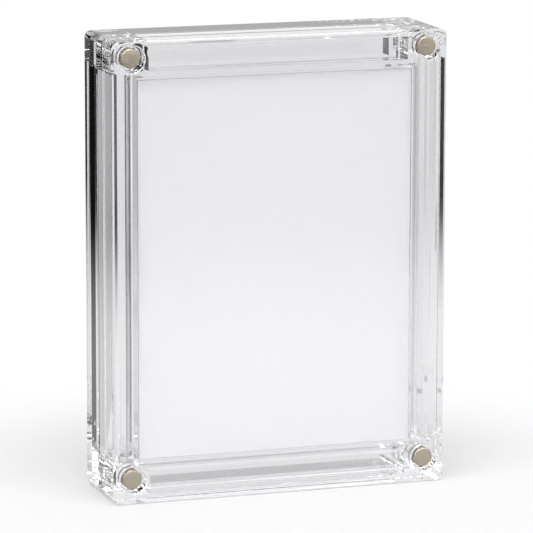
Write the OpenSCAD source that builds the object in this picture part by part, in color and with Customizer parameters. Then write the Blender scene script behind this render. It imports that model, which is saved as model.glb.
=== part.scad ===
// Magnetic display case for one trading card in its rigid 3 x 4 inch holder.
// It stands upright on its bottom edge. The window faces -Y, +X is to the right and +Z is up.
// The origin is the middle of the base. Depths are measured from the front face towards the back.

/* [Case] */
// Width of the case
case_w = 93; // [88:0.5:110]
// Height of the case
case_h = 123.5; // [120:0.5:140]
// Radius of the four outer corners, seen from the front
corner_r = 2; // [1:0.1:3]
// Bevel round the front face and round the back face
face_bevel = 0.5; // [0.2:0.1:0.8]
// Bevel of each edge that meets a seam
seam_bevel = 0.2; // [0.1:0.05:0.3]
// Gap between two layers along their outer edges
seam_gap = 0.15; // [0.1:0.05:0.3]
// Gap left where two pieces rest on each other
contact_gap = 0.05; // [0.02:0.01:0.08]
// Thickness of the outer walls at their free edges
wall_t = 1.9; // [1.2:0.1:2.2]
// Draft of the moulded walls, in degrees
draft = 1; // [0:0.25:1.5]

/* [Front cover] */
// Depth of the front cover
front_d = 8.8; // [8:0.1:10]
// Thickness of the clear window
window_t = 2.9; // [2:0.1:3.4]
// Thickness of the rib round the pocket, at its free edge
rib_t = 1.5; // [1:0.1:1.8]

/* [Card holder and backing card] */
// Width of the card holder that the pocket takes, and of the backing card
holder_w = 76.2; // [70:0.1:77]
// Height of the card holder and of the backing card
holder_h = 101.6; // [96:0.1:102]
// Free depth between the window and the backing card
holder_space = 2.9; // [2:0.1:3]
// Gap all round between the card holder and the foot of the rib
holder_clearance = 1.15; // [0.8:0.05:1.4]
// Thickness of the backing card
card_t = 0.8; // [0.4:0.1:1]
// Gap all round the backing card in its recess
card_clearance = 0.15; // [0.05:0.05:0.25]

/* [Card tray] */
// Depth of the card tray between the two seams
tray_d = 6.2; // [5:0.1:8]
// Thickness of the flange and of the raised panel
tray_t = 2.2; // [1.6:0.1:2.6]
// Gap all round between the raised panel and the foot of the rib
panel_clearance = 0.5; // [0.3:0.05:0.6]
// Thickness of the raised panel's side walls
panel_wall_t = 1.6; // [1.2:0.1:2]

/* [Rear cover] */
// Depth of the solid rear cover
rear_d = 11.2; // [9:0.1:16]

/* [Corner blocks] */
// Width of each corner block
block_w = 10.5; // [10:0.1:12]
// Reach of each corner block past its magnet's centre, towards the middle of the case
block_reach = 4.3; // [4.1:0.1:4.5]
// Distance of each magnet's centre from the side of the case
magnet_side_inset = 5.4; // [5.3:0.1:5.7]
// Distance of the upper magnets' centres from the top
magnet_top_inset = 4.6; // [4.5:0.1:4.8]
// Distance of the lower magnets' centres from the base
magnet_bottom_inset = 6.4; // [6:0.1:6.5]

/* [Magnets] */
// Diameter of the magnets
magnet_dia = 5.2; // [5:0.1:5.4]
// Thickness of the magnets
magnet_t = 2; // [1.5:0.1:2.4]
// Bevel of the magnets' rims
magnet_bevel = 0.3; // [0.1:0.05:0.4]
// Gap between a magnet and the side of its bore
magnet_clearance = 0.05; // [0.02:0.01:0.1]
// Thickness of the glue behind each magnet
glue_t = 0.05; // [0.02:0.01:0.1]
// Depth of a magnet's face below the face that it sits in
magnet_recess = 0.1; // [0.05:0.05:0.2]

/* [Wells, posts and sockets] */
// Diameter of the open wells in the front face
well_dia = 7.2; // [6.8:0.1:7.4]
// Bevel round the mouth of each well
well_bevel = 0.2; // [0.1:0.05:0.3]
// Depth of the magnets' faces below the front face
well_sink = 1; // [0.6:0.1:1.2]
// Depth of the seat that centres each magnet on the floor of its well
seat_d = 0.3; // [0.2:0.05:0.5]
// Thickness left between the wells and the sockets behind them
web_t = 1.7; // [1.2:0.1:2]
// Diameter of the tray's locating posts
post_dia = 6.6; // [6.4:0.1:6.8]
// Gap round each post in its socket, and beyond its tip
post_clearance = 0.3; // [0.25:0.05:0.4]

/* [Hidden] */
$fn = 64;

// Finishes
clear_acrylic = [0.9, 0.94, 0.97, 0.35];
nickel = [0.68, 0.65, 0.6];
white_card = [0.95, 0.95, 0.96];

// Stations along the depth, from the front face
case_d = front_d + tray_d + rear_d;
front_seam = front_d;
rear_seam = front_d + tray_d;
card_face = window_t + holder_space;
panel_face = card_face + card_t + contact_gap;
panel_back = panel_face + tray_t;
flange_back = front_seam + tray_t;
web_face = well_sink + magnet_t + glue_t;
socket_floor = web_face + web_t;
post_tip = socket_floor + post_clearance;
bore_d = magnet_recess + magnet_t + glue_t;

// Sizes in the plane of the window
pocket_w = holder_w + 2 * holder_clearance;
pocket_h = holder_h + 2 * holder_clearance;
panel_w = pocket_w - 2 * panel_clearance;
panel_h = pocket_h - 2 * panel_clearance;
recess_w = holder_w + 2 * card_clearance;
recess_h = holder_h + 2 * card_clearance;
socket_dia = post_dia + 2 * post_clearance;
bore_dia = magnet_dia + 2 * magnet_clearance;

// How far a cut runs past the face that it opens, and how far a joined solid runs into its neighbour
cut = 1;
bite = 0.2;

// Corner signs: x side, then 1 for the top and 0 for the base
top_left = [-1, 1];
top_right = [1, 1];
bottom_left = [-1, 0];
bottom_right = [1, 0];
corners = [top_left, top_right, bottom_left, bottom_right];

function is_top(c) = c[1] == 1;
function magnet_x(c) = c[0] * (case_w / 2 - magnet_side_inset);
function magnet_z(c) = is_top(c) ? case_h - magnet_top_inset : magnet_bottom_inset;
function block_h(c) = block_reach + (is_top(c) ? magnet_top_inset : magnet_bottom_inset);

// How far a drafted face leans over a stretch of depth
function lean(d) = d * tan(draft);

// Stands an outline drawn in X and Z on end, between two depths
module layer(from, to) {
  translate([0, from - case_d / 2, 0])
    rotate([90, 0, 0])
      mirror([0, 0, 1])
        linear_extrude(height = to - from)
          children();
}

// Runs a profile drawn in X and depth along the height of the case
module along_height() {
  translate([0, -case_d / 2, -cut])
    linear_extrude(height = case_h + 2 * cut)
      children();
}

// Runs a profile drawn in Z and depth along the width of the case, with Z from its middle
module along_width() {
  translate([-case_w / 2 - cut, -case_d / 2, case_h / 2])
    rotate([90, 0, 90])
      linear_extrude(height = case_w + 2 * cut)
        rotate(90)
          mirror([0, 1])
            children();
}

// Rectangle centred on the height of the case
module panel_outline(w, h) {
  translate([0, case_h / 2]) square([w, h], center = true);
}

// Outline of the case, with round corners
module case_outline() {
  w = case_w - 2 * corner_r;
  h = case_h - 2 * corner_r;
  panel_outline(w, case_h);
  panel_outline(case_w, h);
  for (x = [-1, 1], z = [-1, 1])
    translate([x * w / 2, case_h / 2 + z * h / 2]) circle(corner_r);
}

// Profile of a slab, centred on the axis, with bevelled front and back corners
module bevelled_profile(length, from, to, front_bevel, back_bevel) {
  half = length / 2;
  polygon([
    [-half + front_bevel, from], [half - front_bevel, from],
    [half, from + front_bevel], [half, to - back_bevel],
    [half - back_bevel, to], [-half + back_bevel, to],
    [-half, to - back_bevel], [-half, from + front_bevel]
  ]);
}

// Profile that widens by a lean on each side between two depths, or narrows if the lean is negative
module leaning_profile(length, from, to, side_lean) {
  half = length / 2;
  polygon([[-half, from], [half, from], [half + side_lean, to], [-half - side_lean, to]]);
}

// Solid slab of the case between two depths, with bevelled edges
module slab(from, to, front_bevel, back_bevel) {
  intersection() {
    layer(from, to) case_outline();
    along_height() bevelled_profile(case_w, from, to, front_bevel, back_bevel);
    along_width() bevelled_profile(case_h, from, to, front_bevel, back_bevel);
  }
}

// Rectangular hollow of the given size at its floor, which widens by the draft towards its mouth
module hollow(floor_depth, mouth, w, h) {
  to = mouth + cut;
  side_lean = lean(to - floor_depth);
  intersection() {
    along_height() leaning_profile(w, floor_depth, to, side_lean);
    along_width() leaning_profile(h, floor_depth, to, side_lean);
  }
}

// Rectangular boss of the given size at its root, which narrows by the draft towards its end
module boss(from, to, w, h) {
  side_lean = lean(to - from);
  intersection() {
    along_height() leaning_profile(w, from, to, -side_lean);
    along_width() leaning_profile(h, from, to, -side_lean);
  }
}

// Hollow behind the outer walls, which are wall_t thick at its mouth
module wall_hollow(floor_depth, mouth) {
  inset = wall_t + lean(mouth - floor_depth);
  hollow(floor_depth, mouth, case_w - 2 * inset, case_h - 2 * inset);
}

// Square block in one corner
module corner_block(c, from, to) {
  z = is_top(c) ? case_h - block_h(c) / 2 : block_h(c) / 2;
  intersection() {
    layer(from, to) case_outline();
    layer(from, to)
      translate([c[0] * (case_w - block_w) / 2, z]) square([block_w, block_h(c)], center = true);
  }
}

// Round hole or post on a magnet's axis
module on_axis(c, from, to, dia) {
  layer(from, to) translate([magnet_x(c), magnet_z(c)]) circle(d = dia);
}

// Cone that bevels the mouth of a well in the front face
module well_mouth(c) {
  translate([magnet_x(c), -case_d / 2, magnet_z(c)])
    rotate([-90, 0, 0])
      translate([0, 0, -well_bevel])
        cylinder(h = 2 * well_bevel, d1 = well_dia + 4 * well_bevel, d2 = well_dia);
}

// Disc magnet with bevelled rims, its face at the given depth
module magnet(c, face) {
  flat_r = magnet_dia / 2 - magnet_bevel;
  color(nickel)
    translate([magnet_x(c), face - case_d / 2, magnet_z(c)])
      rotate([-90, 0, 0])
        rotate_extrude()
          polygon([
            [0, 0], [flat_r, 0], [magnet_dia / 2, magnet_bevel],
            [magnet_dia / 2, magnet_t - magnet_bevel], [flat_r, magnet_t], [0, magnet_t]
          ]);
}

// Rib round the pocket, rib_t thick at its free edge
module pocket_rib() {
  end = front_seam - seam_gap;
  root_w = 2 * (rib_t + 2 * lean(end - window_t));
  difference() {
    boss(window_t - bite, end, pocket_w + root_w, pocket_h + root_w);
    hollow(window_t - cut, end, pocket_w - 2 * lean(cut), pocket_h - 2 * lean(cut));
  }
}

// Clear cover: window, outer wall, rib round the pocket and four corner blocks with well and socket
module front_cover() {
  color(clear_acrylic)
    difference() {
      union() {
        difference() {
          slab(0, front_seam - seam_gap, face_bevel, seam_bevel);
          wall_hollow(window_t, front_seam - seam_gap);
        }
        pocket_rib();
        difference() {
          for (c = corners) corner_block(c, window_t - bite, front_seam - contact_gap);
          hollow(window_t, front_seam, pocket_w, pocket_h);
        }
      }
      for (c = corners) {
        well_mouth(c);
        on_axis(c, -cut, web_face - seat_d, well_dia);
        on_axis(c, 0, web_face, bore_dia);
        on_axis(c, socket_floor, front_seam + cut, socket_dia);
      }
    }
}

// Clear tray: flange, raised panel with a recess for the backing card, posts and rear blocks
module card_tray() {
  color(clear_acrylic)
    difference() {
      union() {
        difference() {
          slab(front_seam, rear_seam - seam_gap, seam_bevel, seam_bevel);
          wall_hollow(flange_back, rear_seam - seam_gap);
        }
        layer(card_face, front_seam + bite) panel_outline(panel_w, panel_h);
        for (c = corners) {
          on_axis(c, post_tip, front_seam + bite, post_dia);
          corner_block(c, flange_back - bite, rear_seam - contact_gap);
        }
      }
      layer(card_face - cut, panel_face) panel_outline(recess_w, recess_h);
      hollow(panel_back, flange_back, panel_w - 2 * panel_wall_t, panel_h - 2 * panel_wall_t);
      for (c = corners) {
        on_axis(c, post_tip - cut, post_tip + bore_d, bore_dia);
        on_axis(c, rear_seam - bore_d, rear_seam + cut, bore_dia);
      }
    }
}

// Clear rear cover: a solid slab that the case stands on, with a blind bore for each magnet
module rear_cover() {
  color(clear_acrylic)
    difference() {
      slab(rear_seam, case_d, seam_bevel, face_bevel);
      for (c = corners)
        on_axis(c, rear_seam - cut, rear_seam + bore_d, bore_dia);
    }
}

// Blank white backing card in the tray's recess
module backing_card() {
  color(white_card)
    layer(card_face, card_face + card_t) panel_outline(holder_w, holder_h);
}

module cover_magnet(c) { magnet(c, well_sink); }
module post_magnet(c) { magnet(c, post_tip + magnet_recess); }
module tray_magnet(c) { magnet(c, rear_seam - magnet_recess - magnet_t); }
module rear_magnet(c) { magnet(c, rear_seam + magnet_recess); }

front_cover();
card_tray();
rear_cover();
backing_card();
cover_magnet(top_left);  // cover_magnet_top_left
cover_magnet(top_right);  // cover_magnet_top_right
cover_magnet(bottom_left);  // cover_magnet_bottom_left
cover_magnet(bottom_right);  // cover_magnet_bottom_right
post_magnet(top_left);  // post_magnet_top_left
post_magnet(top_right);  // post_magnet_top_right
post_magnet(bottom_left);  // post_magnet_bottom_left
post_magnet(bottom_right);  // post_magnet_bottom_right
tray_magnet(top_left);  // tray_magnet_top_left
tray_magnet(top_right);  // tray_magnet_top_right
tray_magnet(bottom_left);  // tray_magnet_bottom_left
tray_magnet(bottom_right);  // tray_magnet_bottom_right
rear_magnet(top_left);  // rear_magnet_top_left
rear_magnet(top_right);  // rear_magnet_top_right
rear_magnet(bottom_left);  // rear_magnet_bottom_left
rear_magnet(bottom_right);  // rear_magnet_bottom_right
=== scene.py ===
import math

import bmesh
import bpy
from bpy.props import FloatProperty, FloatVectorProperty, PointerProperty, StringProperty
from mathutils import Matrix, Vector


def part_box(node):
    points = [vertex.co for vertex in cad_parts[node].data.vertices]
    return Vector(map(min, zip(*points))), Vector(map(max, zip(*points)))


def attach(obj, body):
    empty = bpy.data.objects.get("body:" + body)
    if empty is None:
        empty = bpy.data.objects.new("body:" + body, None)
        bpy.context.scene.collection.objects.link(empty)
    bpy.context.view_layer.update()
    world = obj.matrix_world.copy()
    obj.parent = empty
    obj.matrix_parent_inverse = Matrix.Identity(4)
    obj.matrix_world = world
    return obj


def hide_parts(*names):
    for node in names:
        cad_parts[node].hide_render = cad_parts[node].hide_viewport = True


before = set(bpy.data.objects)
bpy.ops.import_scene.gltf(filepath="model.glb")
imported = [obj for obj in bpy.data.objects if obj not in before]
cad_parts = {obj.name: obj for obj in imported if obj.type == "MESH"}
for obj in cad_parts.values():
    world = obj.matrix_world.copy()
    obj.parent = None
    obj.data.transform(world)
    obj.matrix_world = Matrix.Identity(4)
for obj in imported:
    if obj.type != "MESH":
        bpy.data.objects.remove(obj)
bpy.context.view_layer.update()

bl_info = {
    "name": "Trading Card Display Case",
    "version": (1, 0, 0),
    "blender": (4, 5, 0),
    "location": "3D View > Sidebar > Card Case",
    "description": "Finishes a clear magnetic card case and sets it on a pale lit stage",
    "category": "Object",
}

MM = 0.001
LENGTH = {"subtype": "DISTANCE", "unit": "LENGTH"}
ANGLE = {"subtype": "ANGLE", "unit": "ROTATION"}

CORNERS = ("top_left", "top_right", "bottom_left", "bottom_right")
# Clear layer: the piece that stands for it, and the body that it rides on
LAYERS = {
    "front_cover": ("clear_front_cover", "front"),
    "card_tray": ("clear_card_tray", "tray"),
    "rear_cover": ("clear_rear_cover", "rear"),
}
# Body: the piece that holds its magnets, and the rows of magnets on it
MAGNETS = {
    "front": ("cover_magnets", ("cover_magnet",)),
    "tray": ("tray_magnets", ("post_magnet", "tray_magnet")),
    "rear": ("rear_magnets", ("rear_magnet",)),
}

# Outer walls in the frame: their thickness at the free edges, their draft, and where along the depth
# they meet the plate of each layer that is hollow behind one
CAD_WALL = 1.9 * MM
CAD_DRAFT = math.radians(1)
WALL_FEET = {"front_cover": -10.2 * MM, "card_tray": -2.1 * MM}
# How far a point of a foot may lie from where it is looked for
FOOT_TOLERANCE = 0.02 * MM
# Points of the frame's triangles that are one point, and faces that are one plane
SAME_POINT = 0.002 * MM
SAME_PLANE = math.radians(0.4)


# ---------------------------------------------------------------- colours, nodes and meshes


def linear(hex_colour):
    """Linear RGBA of an sRGB hex colour."""
    values = [int(hex_colour[i : i + 2], 16) / 255 for i in (1, 3, 5)]
    return tuple(v / 12.92 if v <= 0.04045 else ((v + 0.055) / 1.055) ** 2.4 for v in values) + (1.0,)


def shaded(colour, share):
    """A share of a linear colour."""
    return tuple(share * c for c in colour[:3]) + (1.0,)


def add(tree, kind, inputs=None, **settings):
    """Adds a node with its settings and returns it.

    inputs gives its sockets, by name or number, a value, an output socket, or a node, whose first
    output is linked.
    """
    node = tree.nodes.new(kind)
    for name, value in settings.items():
        setattr(node, name, value)
    for key, source in (inputs or {}).items():
        if isinstance(source, bpy.types.Node):
            source = source.outputs[0]
        if isinstance(source, bpy.types.NodeSocket):
            tree.links.new(source, node.inputs[key])
        else:
            node.inputs[key].default_value = source
    return node


def new_material(name):
    """An empty material and its node tree."""
    material = bpy.data.materials.new(name)
    material.use_nodes = True
    material.node_tree.nodes.clear()
    return material, material.node_tree


def link_object(name, data):
    """A new object for a mesh or a camera, at the origin."""
    piece = bpy.data.objects.new(name, data)
    bpy.context.scene.collection.objects.link(piece)
    return piece


def made_plain(piece):
    """The mesh that an object's modifiers make, in place of the object."""
    bpy.context.view_layer.update()
    evaluated = piece.evaluated_get(bpy.context.evaluated_depsgraph_get())
    mesh = bpy.data.meshes.new_from_object(evaluated)
    bpy.data.objects.remove(piece)
    return mesh


def merged_copy(node, side_draft=CAD_DRAFT):
    """A copy of a CAD node's mesh, its side walls drafted and its triangles joined into flat faces."""
    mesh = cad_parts[node].data.copy()
    shape = bmesh.new()
    shape.from_mesh(mesh)
    bmesh.ops.remove_doubles(shape, verts=shape.verts, dist=SAME_POINT)
    if node in WALL_FEET:
        draft_side_walls(shape, node, side_draft)
    bmesh.ops.dissolve_limit(
        shape, angle_limit=SAME_PLANE, verts=shape.verts, edges=shape.edges, delimit=set()
    )
    bmesh.ops.recalc_face_normals(shape, faces=shape.faces)
    shape.to_mesh(mesh)
    shape.free()
    mesh.materials.clear()
    return mesh


def draft_side_walls(shape, node, side_draft):
    """Moves the feet of a layer's side walls inwards, so that their inner faces have the side draft."""
    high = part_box(node)[1]
    foot = WALL_FEET[node]
    depth = high.y - foot
    inset = CAD_WALL + depth * math.tan(CAD_DRAFT)
    shift = depth * (math.tan(side_draft) - math.tan(CAD_DRAFT))
    for vert in shape.verts:
        off_depth = abs(vert.co.y - foot)
        off_wall = abs(high.x - abs(vert.co.x) - inset)
        if max(off_depth, off_wall) < FOOT_TOLERANCE:
            vert.co.x -= math.copysign(shift, vert.co.x)


def smooth_rounds(mesh, lowest, highest):
    """Shades smooth across the edges whose angle lies between the two, and keeps the others sharp."""
    shape = bmesh.new()
    shape.from_mesh(mesh)
    for face in shape.faces:
        face.smooth = True
    for edge in shape.edges:
        edge.smooth = lowest <= edge.calc_face_angle(math.pi) < highest
    shape.to_mesh(mesh)
    shape.free()


def finish_piece(piece, body, nodes):
    """Hangs a finished piece on the body that it rides on, and hides the CAD nodes that it stands for."""
    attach(piece, body)
    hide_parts(*nodes)


# ---------------------------------------------------------------- settings


class CaseClearSettings(bpy.types.PropertyGroup):
    """Finish of the three clear layers."""

    tint: StringProperty(
        name="Tint", description="Colour of the clear plastic, as an sRGB hex value", default="#FEFEFF"
    )
    ior: FloatProperty(
        name="IOR", description="Index of refraction of the acrylic", default=1.49, min=1.3, max=1.7
    )
    ripple: FloatProperty(
        name="Ripple",
        description="Height of the faint flow ripple that moulding leaves",
        default=0.0003 * MM,
        min=0.0,
        **LENGTH,
    )
    ripple_length: FloatProperty(
        name="Ripple length", description="Length of the flow ripple", default=9 * MM, min=1 * MM, **LENGTH
    )
    smooth_angle: FloatProperty(
        name="Smooth angle",
        description="Edges sharper than this stay sharp",
        default=math.radians(20),
        **ANGLE,
    )
    draft_angle: FloatProperty(
        name="Draft angle",
        description="Flat faces that differ by less than this, by draft only, keep a sharp edge between them",
        default=math.radians(4),
        **ANGLE,
    )


class CaseShapeSettings(bpy.types.PropertyGroup):
    """Moulded shape of the walls and of the rear cover."""

    wall: FloatProperty(
        name="Wall",
        description="Thickness of the rear cover's walls at their free edges",
        default=CAD_WALL,
        **LENGTH,
    )
    side_draft: FloatProperty(
        name="Side draft",
        description="Draft of the side walls of all three layers",
        default=math.radians(3),
        **ANGLE,
    )
    end_draft: FloatProperty(
        name="End draft",
        description="Draft of the rear cover's top and bottom walls",
        default=CAD_DRAFT,
        **ANGLE,
    )
    back_plate: FloatProperty(
        name="Back plate",
        description="Thickness of the rear cover's back plate",
        default=3.4 * MM,
        **LENGTH,
    )
    block_width: FloatProperty(
        name="Block width",
        description="Width of the rear cover's corner blocks, with the wall",
        default=10.5 * MM,
        **LENGTH,
    )
    block_top: FloatProperty(
        name="Upper block",
        description="Height of the upper corner blocks, with the wall",
        default=8.9 * MM,
        **LENGTH,
    )
    block_bottom: FloatProperty(
        name="Lower block",
        description="Height of the lower corner blocks, with the wall",
        default=10.7 * MM,
        **LENGTH,
    )


class CaseMagnetSettings(bpy.types.PropertyGroup):
    """Size and finish of the disc magnets."""

    rim_radius: FloatProperty(
        name="Rim radius",
        description="Radius of the tumbled rim of each disc",
        default=0.3 * MM,
        min=0.05 * MM,
        **LENGTH,
    )
    plate: StringProperty(
        name="Plate", description="Colour of the nickel plate, as an sRGB hex value", default="#BDB4A3"
    )
    roughness: FloatProperty(
        name="Roughness", description="Roughness of the plate", default=0.42, min=0.08, max=0.92
    )
    grain: FloatProperty(
        name="Grain",
        description="Grain of the sintered metal under the plate",
        default=0.16 * MM,
        min=0.02 * MM,
        **LENGTH,
    )
    mark_length: FloatProperty(
        name="Mark length",
        description="Length of the lapping marks",
        default=1.6 * MM,
        min=0.1 * MM,
        **LENGTH,
    )
    relief: FloatProperty(
        name="Relief",
        description="Height of the grain and the lapping marks",
        default=0.02 * MM,
        min=0.0,
        **LENGTH,
    )


class CaseCardSettings(bpy.types.PropertyGroup):
    """Finish of the backing card."""

    colour: StringProperty(
        name="Colour", description="Colour of the card, as an sRGB hex value", default="#EEEEF0"
    )
    fibre: FloatProperty(
        name="Fibre",
        description="Length of the paper's fibre flecks",
        default=1.2 * MM,
        min=0.1 * MM,
        **LENGTH,
    )
    relief: FloatProperty(
        name="Relief", description="Height of the fibre flecks", default=0.01 * MM, min=0.0, **LENGTH
    )


class CaseStageSettings(bpy.types.PropertyGroup):
    """Light, floor and camera."""

    backdrop: FloatProperty(
        name="Backdrop", description="Level of the white backdrop", default=0.88, min=0.0
    )
    front_light: FloatProperty(
        name="Front light", description="Level of the high front soft box", default=5.7, min=0.0
    )
    grey: FloatProperty(
        name="Grey card", description="Level of the narrow grey card behind", default=0.45, min=0.0
    )
    sides: FloatProperty(
        name="Sides", description="Level of the open studio in front and on the left", default=0.5, min=0.0
    )
    flags: FloatProperty(name="Flags", description="Level of the dark flags", default=0.02, min=0.0)
    floor_size: FloatProperty(
        name="Floor size", description="Half the side of the floor", default=20.0, **LENGTH
    )
    floor_gap: FloatProperty(
        name="Floor gap",
        description="Gap that keeps the case's base out of the floor",
        default=0.2 * MM,
        min=0.0,
        **LENGTH,
    )
    paper_grain: FloatProperty(
        name="Paper grain", description="Grain of the studio paper", default=0.8 * MM, min=0.1 * MM, **LENGTH
    )
    lens: FloatProperty(
        name="Lens", description="Focal length in millimetres on a 36 mm sensor", default=266.6
    )
    distance: FloatProperty(
        name="Distance",
        description="Distance of the camera from the point that it looks at",
        default=1.0602,
        **LENGTH,
    )
    turn: FloatProperty(
        name="Turn",
        description="How far round to its left the case is seen from",
        default=math.radians(18.546),
        **ANGLE,
    )
    pitch: FloatProperty(
        name="Pitch", description="How far the camera looks down", default=math.radians(10.885), **ANGLE
    )
    roll: FloatProperty(
        name="Roll", description="Roll of the camera", default=math.radians(0.109), **ANGLE
    )
    target: FloatVectorProperty(
        name="Target",
        description="Point that the camera looks at",
        default=(0.00026, 0.0, 0.05934),
        subtype="XYZ",
        unit="LENGTH",
    )


# ---------------------------------------------------------------- materials


def clear_acrylic(settings):
    """Clear acrylic (PMMA), injection moulded in a polished tool.

    The faces are glossy and as good as colourless. They carry the long flow ripple that moulding
    leaves, so low that it hardly bends what shows in them.
    """
    material, tree = new_material("moulded_clear_acrylic")
    place = add(tree, "ShaderNodeTexCoord").outputs["Object"]
    ripple = add(
        tree,
        "ShaderNodeTexNoise",
        {"Vector": place, "Scale": 1 / settings.ripple_length, "Detail": 1.0, "Roughness": 0.4},
    )
    bump = add(tree, "ShaderNodeBump", {"Height": ripple, "Strength": 1.0, "Distance": settings.ripple})
    surface = add(
        tree,
        "ShaderNodeBsdfPrincipled",
        {
            "Base Color": linear(settings.tint),
            "IOR": settings.ior,
            "Roughness": 0.0,
            "Transmission Weight": 1.0,
            "Normal": bump,
        },
    )
    add(tree, "ShaderNodeOutputMaterial", {"Surface": surface})
    return material


def nickel_plate(settings):
    """Bright nickel plate over sintered neodymium, tumbled before plating.

    It is a warm silver with a satin sheen, its face finely pitted by the grain below, with painted shade
    speckled into the pits and faint lapping marks across it. The grain and the marks are drawn coarser
    than they are, so that they show.
    """
    pit_shade, slant, slenderness = 0.72, math.radians(35), 9.0
    sheen_range = 0.08
    material, tree = new_material("tumbled_nickel_plate")
    place = add(tree, "ShaderNodeTexCoord").outputs["Object"]
    grain = add(
        tree,
        "ShaderNodeTexNoise",
        {"Vector": place, "Scale": 1 / settings.grain, "Detail": 4.0, "Roughness": 0.7},
    )
    slanted = add(
        tree,
        "ShaderNodeMapping",
        {"Vector": place, "Rotation": (0.0, slant, 0.0), "Scale": (1.0, 1.0, slenderness)},
    )
    lapping = add(
        tree,
        "ShaderNodeTexNoise",
        {"Vector": slanted, "Scale": 1 / settings.mark_length, "Detail": 3.0, "Roughness": 0.6},
    )
    # painted shade: the plate is darker in the pits of the grain
    pit_shading = add(
        tree,
        "ShaderNodeMapRange",
        {"Value": grain, "From Min": 0.35, "From Max": 0.6},
        interpolation_type="SMOOTHSTEP",
    )
    plate = linear(settings.plate)
    colour = add(tree, "ShaderNodeMix", {0: pit_shading, 6: shaded(plate, pit_shade), 7: plate}, data_type="RGBA")
    roughness = add(
        tree,
        "ShaderNodeMapRange",
        {
            "Value": lapping,
            "From Min": 0.3,
            "From Max": 0.7,
            "To Min": settings.roughness - sheen_range,
            "To Max": settings.roughness + sheen_range,
        },
        interpolation_type="SMOOTHSTEP",
    )
    marks = add(tree, "ShaderNodeMath", {0: lapping, 1: 0.4}, operation="MULTIPLY")
    height = add(tree, "ShaderNodeMath", {0: grain, 1: 0.6, 2: marks}, operation="MULTIPLY_ADD")
    bump = add(tree, "ShaderNodeBump", {"Height": height, "Strength": 0.5, "Distance": settings.relief})
    surface = add(
        tree,
        "ShaderNodeBsdfPrincipled",
        {"Base Color": colour.outputs[2], "Metallic": 1.0, "Roughness": roughness, "Normal": bump},
    )
    add(tree, "ShaderNodeOutputMaterial", {"Surface": surface})
    return material


def white_card(settings):
    """Uncoated white cardboard, calendered smooth.

    It is a matt, slightly cool white with fibre flecks that are only just there.
    """
    fleck_shade = 0.985
    material, tree = new_material("uncoated_white_cardboard")
    place = add(tree, "ShaderNodeTexCoord").outputs["Object"]
    fibre = add(
        tree,
        "ShaderNodeTexNoise",
        {"Vector": place, "Scale": 1 / settings.fibre, "Detail": 5.0, "Roughness": 0.65},
    )
    flecks = add(
        tree,
        "ShaderNodeMapRange",
        {"Value": fibre, "From Min": 0.3, "From Max": 0.7},
        interpolation_type="SMOOTHSTEP",
    )
    card = linear(settings.colour)
    colour = add(tree, "ShaderNodeMix", {0: flecks, 6: shaded(card, fleck_shade), 7: card}, data_type="RGBA")
    bump = add(tree, "ShaderNodeBump", {"Height": fibre, "Strength": 0.3, "Distance": settings.relief})
    surface = add(
        tree,
        "ShaderNodeBsdfPrincipled",
        {"Base Color": colour.outputs[2], "Roughness": 0.85, "Specular IOR Level": 0.3, "Normal": bump},
    )
    add(tree, "ShaderNodeOutputMaterial", {"Surface": surface})
    return material


# ---------------------------------------------------------------- studio light


# Azimuths are in degrees from straight behind the case, positive to the right.
# The grey card in the backdrop: the start and end of its left edge and of its right edge
GREY_CARD = (22.3, 22.9, 25.3, 25.9)
# Where the thin dark gap near the backdrop's left end starts
GAP_START = -19.5
# The start and end of the backdrop's right edge
BACKDROP_RIGHT = (60, 66)
# Level of the studio round the case: azimuth, and the setting that gives the level there. The backdrop
# fills the back and a pale screen stands in front on the right, with dark flags between them.
RING = (
    (-180, "sides"),
    (-78, "sides"),
    (-64, "flags"),
    (-29.5, "flags"),
    (-27, "backdrop"),
    (GAP_START, "backdrop"),
    (-18, "flags"),
    (-15.5, "flags"),
    (-11.5, "backdrop"),
    (GREY_CARD[0], "backdrop"),
    (GREY_CARD[1], "grey"),
    (GREY_CARD[2], "grey"),
    (GREY_CARD[3], "backdrop"),
    (BACKDROP_RIGHT[0], "backdrop"),
    (BACKDROP_RIGHT[1], "flags"),
    (96, "flags"),
    (108, "backdrop"),
    (154, "backdrop"),
    (159, "flags"),
    (172, "flags"),
    (180, "sides"),
)

# Patches of light, which fade out over their edges. An edge says what it is measured along, where it
# starts and ends, and the level before and after it, as a number or the setting that gives it. The level
# of a patch is the product of its edges.
# Above the ring: height is a direction's rise, and ahead how far it agrees with the way the camera looks
OVERHEAD = {
    "ceiling": (("height", 0.1, 0.35, 0.0, "backdrop"),),
    "soft_box": (("ahead", -0.2, -0.6, 0.0, 1.0), ("height", 0.22, 0.45, 0.0, "front_light")),
}
# Where the floor's lit part starts behind the case, and where the grey card's painted shade on it starts
LIT_FLOOR = (-10 * MM, 13 * MM, 0.0)
CARD_SHADE_START = (-40 * MM, 13 * MM, 0.0)
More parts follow.
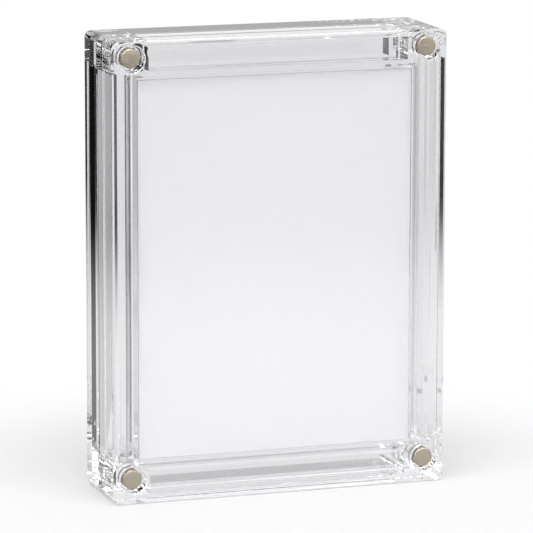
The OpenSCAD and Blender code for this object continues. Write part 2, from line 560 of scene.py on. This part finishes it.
# On the floor, in metres and degrees. From the middle of the base: reach is the distance, over_width and
# over_depth its parts across the case's width and depth, azimuth the bearing and turned_away its size.
# From where the lit part starts: right_of and past are the distances across and along a line towards the
# gap. From where the grey card's painted shade starts: card_shade_azimuth is the bearing.
# The floor's glow that clear plastic and metal see is painted light and shade: lit patches of paper, painted
# shade close round the case, a painted shadow under its base and the grey card's painted shade.
FLOOR = {
    # paper round the case, darker close to it by painted shade, and darkened further out by the flags
    "near": (("reach", 30 * MM, 150 * MM, 0.76, 0.86), ("reach", 180 * MM, 460 * MM, 1.0, "flags")),
    # what the case's own shade takes from it under the base
    "shade": (("over_width", 50 * MM, 45 * MM, 0.0, 0.1), ("over_depth", 18 * MM, 11 * MM, 0.0, 1.0)),
    # paper behind the case, lit by the backdrop
    "behind": (
        ("right_of", -10 * MM, 10 * MM, 0.0, 0.87),
        ("past", 0.0, 50 * MM, 0.0, 1.0),
        ("azimuth", BACKDROP_RIGHT[1], BACKDROP_RIGHT[0], 0.0, 1.0),
    ),
    # paper in front on both sides, lit from there
    "in_front": (
        ("reach", 50 * MM, 250 * MM, 0.0, "backdrop"),
        ("turned_away", 96, 110, 0.0, 1.0),
        ("turned_away", 156, 148, 0.0, 1.0),
    ),
    # painted shade: the share of that light which the grey card takes
    "card_shade": (
        ("card_shade_azimuth", GREY_CARD[0], GREY_CARD[1], 0.0, 0.4),
        ("card_shade_azimuth", GREY_CARD[3], GREY_CARD[2], 0.0, 1.0),
    ),
    # share of the surroundings, which take over from the paper
    "far": (("reach", 300 * MM, 550 * MM, 0.0, 1.0),),
    # share of the case's soft shadow that the camera sees
    "shadow": (("reach", 60 * MM, 140 * MM, 0.6, 0.0),),
}


def azimuth(tree, place):
    """Azimuth of a place or a direction, in degrees."""
    x, y, _ = add(tree, "ShaderNodeSeparateXYZ", {"Vector": place}).outputs
    radians = add(tree, "ShaderNodeMath", {0: x, 1: y}, operation="ARCTAN2")
    return add(tree, "ShaderNodeMath", {0: radians}, operation="DEGREES")


def ring_level(tree, direction, settings):
    """Level of the studio round the case, in a direction."""
    share = add(
        tree, "ShaderNodeMath", {0: azimuth(tree, direction), 1: 1 / 360, 2: 0.5}, operation="MULTIPLY_ADD"
    )
    ramp = add(tree, "ShaderNodeValToRGB", {"Fac": share})
    stops = ramp.color_ramp.elements
    # a new ramp has its first and its last stop
    for degrees, _ in RING[1:-1]:
        stops.new(degrees / 360 + 0.5)
    for stop, (_, level) in zip(stops, RING):
        stop.color = 3 * (getattr(settings, level),) + (1.0,)
    return ramp


def patches(tree, table, measures, settings):
    """Level of each patch of light in a table, by name."""
    levels = {}
    for name, edges in table.items():
        for measure, start, end, before, after in edges:
            before, after = (getattr(settings, v) if isinstance(v, str) else v for v in (before, after))
            limits = {"From Min": start, "From Max": end, "To Min": before, "To Max": after}
            level = add(
                tree,
                "ShaderNodeMapRange",
                {"Value": measures[measure], **limits},
                interpolation_type="SMOOTHSTEP",
            )
            if name in levels:
                level = add(tree, "ShaderNodeMath", {0: levels[name], 1: level}, operation="MULTIPLY")
            levels[name] = level
    return levels


def studio_world(settings):
    """Surroundings: a ring of backdrop and flags low down, a pale ceiling and a high front soft box."""
    world = bpy.data.worlds.new("studio")
    bpy.context.scene.world = world
    world.use_nodes = True
    tree = world.node_tree
    tree.nodes.clear()
    direction = add(tree, "ShaderNodeTexCoord").outputs["Generated"]
    height = add(tree, "ShaderNodeSeparateXYZ", {"Vector": direction}).outputs["Z"]
    flat = add(tree, "ShaderNodeVectorMath", {0: direction, 1: (1.0, 1.0, 0.0)}, operation="MULTIPLY")
    heading = add(tree, "ShaderNodeVectorMath", {0: flat}, operation="NORMALIZE")
    look = (math.sin(settings.turn), math.cos(settings.turn), 0.0)
    ahead = add(tree, "ShaderNodeVectorMath", {0: heading, 1: look}, operation="DOT_PRODUCT")
    light = patches(tree, OVERHEAD, {"height": height, "ahead": ahead.outputs["Value"]}, settings)
    # the camera sees white
    camera = add(tree, "ShaderNodeLightPath").outputs["Is Camera Ray"]
    level = ring_level(tree, direction, settings)
    for other in (light["ceiling"], light["soft_box"], camera):
        level = add(tree, "ShaderNodeMath", {0: level, 1: other}, operation="MAXIMUM")
    background = add(tree, "ShaderNodeBackground", {"Color": level})
    add(tree, "ShaderNodeOutputWorld", {"Surface": background})


def floor_measures(tree, place):
    """What the patches of the floor are measured along."""
    off = add(tree, "ShaderNodeVectorMath", {0: place}, operation="ABSOLUTE")
    over_width, over_depth, _ = add(tree, "ShaderNodeSeparateXYZ", {"Vector": off}).outputs
    lit = add(
        tree,
        "ShaderNodeMapping",
        {"Vector": place, "Location": LIT_FLOOR, "Rotation": (0.0, 0.0, -math.radians(GAP_START))},
        vector_type="TEXTURE",
    )
    right_of, past, _ = add(tree, "ShaderNodeSeparateXYZ", {"Vector": lit}).outputs
    from_card_shade = add(tree, "ShaderNodeVectorMath", {0: place, 1: CARD_SHADE_START}, operation="SUBTRACT")
    bearing = azimuth(tree, place)
    return {
        "reach": add(tree, "ShaderNodeVectorMath", {0: place}, operation="LENGTH").outputs["Value"],
        "over_width": over_width,
        "over_depth": over_depth,
        "right_of": right_of,
        "past": past,
        "azimuth": bearing,
        "turned_away": add(tree, "ShaderNodeMath", {0: bearing}, operation="ABSOLUTE"),
        "card_shade_azimuth": azimuth(tree, from_card_shade),
    }


def floor_paper(settings):
    """White studio paper, rolled out flat.

    The camera sees it white, with the case's soft shadow close round it. Clear plastic and metal see
    instead a glow of painted light and shade: patches of lit paper round the case, a painted shadow
    under the base, and the surroundings further out.
    """
    darkest, palest = 0.4, 0.41
    material, tree = new_material("white_studio_paper")
    place = add(tree, "ShaderNodeTexCoord").outputs["Object"]
    light = patches(tree, FLOOR, floor_measures(tree, place), settings)
    # painted light and shade: the glow's level stands in for how the paper is lit and shaded
    level = add(tree, "ShaderNodeMath", {0: light["near"], 1: light["shade"]}, operation="SUBTRACT")
    for other in (light["behind"], light["in_front"]):
        level = add(tree, "ShaderNodeMath", {0: level, 1: other}, operation="MAXIMUM")
    # painted shade of the grey card
    kept = add(tree, "ShaderNodeMath", {0: 1.0, 1: light["card_shade"]}, operation="SUBTRACT")
    level = add(tree, "ShaderNodeMath", {0: level, 1: kept}, operation="MULTIPLY")
    glow = add(tree, "ShaderNodeEmission", {"Color": level})
    gap = add(tree, "ShaderNodeBsdfTransparent")
    reflected = add(tree, "ShaderNodeMixShader", {0: light["far"], 1: glow, 2: gap})

    grain = add(
        tree, "ShaderNodeTexNoise", {"Vector": place, "Scale": 1 / settings.paper_grain, "Detail": 3.0}
    )
    tone = add(
        tree,
        "ShaderNodeMapRange",
        {"Value": grain, "From Min": 0.2, "From Max": 0.8, "To Min": darkest, "To Max": palest},
        interpolation_type="SMOOTHSTEP",
    )
    white = add(tree, "ShaderNodeEmission", {"Color": (1.0, 1.0, 1.0, 1.0)})
    paper = add(tree, "ShaderNodeBsdfDiffuse", {"Color": tone})
    shown = add(tree, "ShaderNodeMixShader", {0: light["shadow"], 1: white, 2: paper})
    camera = add(tree, "ShaderNodeLightPath").outputs["Is Camera Ray"]
    surface = add(tree, "ShaderNodeMixShader", {0: camera, 1: reflected, 2: shown})
    add(tree, "ShaderNodeOutputMaterial", {"Surface": surface})
    return material


# ---------------------------------------------------------------- magnets by Geometry Nodes


def magnet_tree():
    """Geometry Nodes: a rimmed disc on each point, lying across the depth of the case."""
    rim_steps, disc_steps = 5, 96
    tree = bpy.data.node_groups.new("magnet_discs", "GeometryNodeTree")
    interface = tree.interface
    interface.new_socket("Points", in_out="INPUT", socket_type="NodeSocketGeometry")
    for name in ("Diameter", "Thickness", "Rim radius"):
        interface.new_socket(name, in_out="INPUT", socket_type="NodeSocketFloat")
    interface.new_socket("Material", in_out="INPUT", socket_type="NodeSocketMaterial")
    interface.new_socket("Discs", in_out="OUTPUT", socket_type="NodeSocketGeometry")
    given = add(tree, "NodeGroupInput").outputs
    radius = add(tree, "ShaderNodeMath", {0: given["Diameter"], 1: 0.5}, operation="MULTIPLY")
    # half section of the disc: a rectangle from the axis out, with its two outer corners rounded
    section = add(
        tree,
        "GeometryNodeCurvePrimitiveQuadrilateral",
        {"Width": radius, "Height": given["Thickness"]},
        mode="RECTANGLE",
    )
    corner = add(tree, "GeometryNodeInputPosition")
    corner_x = add(tree, "ShaderNodeSeparateXYZ", {"Vector": corner}).outputs["X"]
    outer = add(tree, "ShaderNodeMath", {0: corner_x, 1: 0.0}, operation="GREATER_THAN")
    rim = add(tree, "ShaderNodeMath", {0: outer, 1: given["Rim radius"]}, operation="MULTIPLY")
    rounded = add(
        tree,
        "GeometryNodeFilletCurve",
        {"Curve": section, "Radius": rim, "Count": rim_steps},
        mode="POLY",
    )
    # the section's middle goes round the axis at half the radius
    middle = add(tree, "ShaderNodeMath", {0: radius, 1: 0.5}, operation="MULTIPLY")
    path = add(
        tree,
        "GeometryNodeCurvePrimitiveCircle",
        {"Radius": middle, "Resolution": disc_steps},
        mode="RADIUS",
    )
    turned = add(tree, "GeometryNodeCurveToMesh", {"Curve": path, "Profile Curve": rounded})
    closed = add(tree, "GeometryNodeMergeByDistance", {"Geometry": turned, "Distance": 0.001 * MM})
    upright = add(
        tree, "GeometryNodeTransform", {"Geometry": closed, "Rotation": (math.radians(90), 0.0, 0.0)}
    )
    placed = add(tree, "GeometryNodeInstanceOnPoints", {"Points": given["Points"], "Instance": upright})
    real = add(tree, "GeometryNodeRealizeInstances", {"Geometry": placed})
    finished = add(tree, "GeometryNodeSetMaterial", {"Geometry": real, "Material": given["Material"]})
    add(tree, "NodeGroupOutput", {"Discs": finished})
    return tree


def disc_mesh(name, boxes, tree, rim_radius, material):
    """One mesh with a disc in the middle of each box, as wide and thick as the first box."""
    points = bpy.data.meshes.new(name)
    points.from_pydata([(low + high) / 2 for low, high in boxes], [], [])
    carrier = link_object(name + "_points", points)
    low, high = boxes[0]
    given = {
        "Diameter": high.x - low.x,
        "Thickness": high.y - low.y,
        "Rim radius": rim_radius,
        "Material": material,
    }
    modifier = carrier.modifiers.new("Discs", "NODES")
    modifier.node_group = tree
    for socket in tree.interface.items_tree:
        if socket.name in given:
            modifier[socket.identifier] = given[socket.name]
    mesh = made_plain(carrier)
    mesh.name = name
    # an empty slot comes before the discs' own
    mesh.materials.pop(index=0)
    shape = bmesh.new()
    shape.from_mesh(mesh)
    bmesh.ops.dissolve_degenerate(shape, dist=0.0001 * MM, edges=shape.edges)
    bmesh.ops.recalc_face_normals(shape, faces=shape.faces)
    shape.to_mesh(mesh)
    shape.free()
    mesh.shade_smooth()
    return mesh


# ---------------------------------------------------------------- hollow of the rear cover


def hollow_cutter(moulding):
    """The space inside the rear cover: drafted side, top and bottom walls round four corner blocks."""
    low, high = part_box("rear_cover")
    floor = high.y - moulding.back_plate
    # the cutter stands out of the open front, so that no skin is left there
    mouth = low.y - 1 * MM
    block_x = high.x - moulding.block_width
    block_low, block_high = moulding.block_bottom, high.z - moulding.block_top
    verts = []
    for y in (mouth, floor):
        side = high.x - moulding.wall - (y - low.y) * math.tan(moulding.side_draft)
        end = moulding.wall + (y - low.y) * math.tan(moulding.end_draft)
        outline = [
            (block_x, end),
            (block_x, block_low),
            (side, block_low),
            (side, block_high),
            (block_x, block_high),
            (block_x, high.z - end),
        ]
        outline += [(-x, z) for x, z in reversed(outline)]
        verts += [(x, y, z) for x, z in outline]
    n = len(verts) // 2
    faces = [tuple(range(n)), tuple(range(2 * n - 1, n - 1, -1))]
    faces += [(i, i + n, (i + 1) % n + n, (i + 1) % n) for i in range(n)]
    mesh = bpy.data.meshes.new("hollow")
    mesh.from_pydata(verts, [], faces)
    return mesh


def cut_hollow(mesh, moulding):
    """The mesh with the rear cover's hollow cut out of it."""
    body = link_object("uncut", mesh)
    cutter = link_object("cutter", hollow_cutter(moulding))
    modifier = body.modifiers.new("Hollow", "BOOLEAN")
    modifier.object = cutter
    modifier.solver = "EXACT"
    cut = made_plain(body)
    bpy.data.objects.remove(cutter)
    return cut


# ---------------------------------------------------------------- stage


def floor_sheet(settings):
    """The flat floor that the case stands on."""
    half, z = settings.floor_size, -settings.floor_gap
    mesh = bpy.data.meshes.new("floor")
    mesh.from_pydata(
        [(-half, -half, z), (half, -half, z), (half, half, z), (-half, half, z)], [], [(0, 1, 2, 3)]
    )
    mesh.materials.append(floor_paper(settings))
    return mesh


def aimed_camera(settings):
    """The camera, aimed at the case as the photograph's was."""
    lens = bpy.data.cameras.new("camera")
    lens.sensor_width = 36
    lens.lens = settings.lens
    lens.clip_start = 10 * MM
    camera = link_object("camera", lens)
    camera.matrix_world = (
        Matrix.Translation(settings.target)
        @ Matrix.Rotation(-settings.turn, 4, "Z")
        @ Matrix.Rotation(math.radians(90) - settings.pitch, 4, "X")
        @ Matrix.Rotation(settings.roll, 4, "Z")
        @ Matrix.Translation((0.0, 0.0, settings.distance))
    )
    return camera


# ---------------------------------------------------------------- operators


class OBJECT_OT_case_layers(bpy.types.Operator):
    """Make the three clear layers and finish them in moulded acrylic"""

    bl_idname = "object.case_layers"
    bl_label = "Clear Layers"

    def execute(self, context):
        settings = context.scene.case_clear
        moulding = context.scene.case_shape
        material = clear_acrylic(settings)
        for node, (name, body) in LAYERS.items():
            mesh = merged_copy(node, moulding.side_draft)
            if node == "rear_cover":
                mesh = cut_hollow(mesh, moulding)
            smooth_rounds(mesh, settings.draft_angle, settings.smooth_angle)
            mesh.materials.append(material)
            piece = link_object(name, mesh)
            # keeps each flat face's reflections straight up to the rounds beside it
            weighted = piece.modifiers.new("Weighted", "WEIGHTED_NORMAL")
            weighted.weight = 100
            weighted.keep_sharp = True
            finish_piece(piece, body, [node])
        return {"FINISHED"}


class OBJECT_OT_case_magnets(bpy.types.Operator):
    """Make the sixteen disc magnets, one mesh for each body that carries them"""

    bl_idname = "object.case_magnets"
    bl_label = "Magnets"

    def execute(self, context):
        settings = context.scene.case_magnets
        material = nickel_plate(settings)
        tree = magnet_tree()
        for body, (name, rows) in MAGNETS.items():
            nodes = [f"{row}_{corner}" for row in rows for corner in CORNERS]
            boxes = [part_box(node) for node in nodes]
            piece = link_object(name, disc_mesh(name, boxes, tree, settings.rim_radius, material))
            # keeps the flat faces' reflections straight up to the rim
            piece.modifiers.new("Weighted", "WEIGHTED_NORMAL")
            finish_piece(piece, body, nodes)
        return {"FINISHED"}


class OBJECT_OT_case_card(bpy.types.Operator):
    """Make the blank white backing card"""

    bl_idname = "object.case_card"
    bl_label = "Backing Card"

    def execute(self, context):
        mesh = merged_copy("backing_card")
        mesh.materials.append(white_card(context.scene.case_card))
        finish_piece(link_object("white_backing_card", mesh), "card", ["backing_card"])
        return {"FINISHED"}


class OBJECT_OT_case_stage(bpy.types.Operator):
    """Set the floor, the studio light and the camera"""

    bl_idname = "object.case_stage"
    bl_label = "Stage"

    def execute(self, context):
        settings = context.scene.case_stage
        scene = context.scene
        studio_world(settings)
        link_object("floor", floor_sheet(settings))
        scene.camera = aimed_camera(settings)
        scene.view_settings.view_transform = "Standard"
        # Light runs far inside the clear walls. Total reflections count as glossy bounces: the light at
        # the left side's back edge takes about 23 of them inside the back plate, and that in the band
        # beside it about 28. The limit lies between the two, so that the edge is light and the band dark.
        scene.cycles.glossy_bounces = 25
        scene.cycles.transmission_bounces = 96
        scene.cycles.max_bounces = 96
        scene.cycles.transparent_max_bounces = 16
        return {"FINISHED"}


class VIEW3D_PT_card_case(bpy.types.Panel):
    """Lists the settings of the card case and makes its pieces"""

    bl_idname = "VIEW3D_PT_card_case"
    bl_label = "Card Case"
    bl_space_type = "VIEW_3D"
    bl_region_type = "UI"
    bl_category = "Card Case"

    def draw(self, context):
        for operator, groups in PIECES:
            box = self.layout.box()
            box.operator(operator.bl_idname)
            for group in groups:
                for name in group.__annotations__:
                    box.prop(getattr(context.scene, GROUPS[group]), name)


PIECES = (
    (OBJECT_OT_case_layers, (CaseShapeSettings, CaseClearSettings)),
    (OBJECT_OT_case_magnets, (CaseMagnetSettings,)),
    (OBJECT_OT_case_card, (CaseCardSettings,)),
    (OBJECT_OT_case_stage, (CaseStageSettings,)),
)
GROUPS = {
    CaseShapeSettings: "case_shape",
    CaseClearSettings: "case_clear",
    CaseMagnetSettings: "case_magnets",
    CaseCardSettings: "case_card",
    CaseStageSettings: "case_stage",
}


def register():
    for group, name in GROUPS.items():
        bpy.utils.register_class(group)
        setattr(bpy.types.Scene, name, PointerProperty(type=group))
    for operator, _ in PIECES:
        bpy.utils.register_class(operator)
    bpy.utils.register_class(VIEW3D_PT_card_case)


def unregister():
    bpy.utils.unregister_class(VIEW3D_PT_card_case)
    for operator, _ in reversed(PIECES):
        bpy.utils.unregister_class(operator)
    for group, name in reversed(GROUPS.items()):
        delattr(bpy.types.Scene, name)
        bpy.utils.unregister_class(group)


def main():
    register()
    bpy.ops.object.case_layers()
    bpy.ops.object.case_magnets()
    bpy.ops.object.case_card()
    bpy.ops.object.case_stage()


if __name__ == "__main__":
    main()
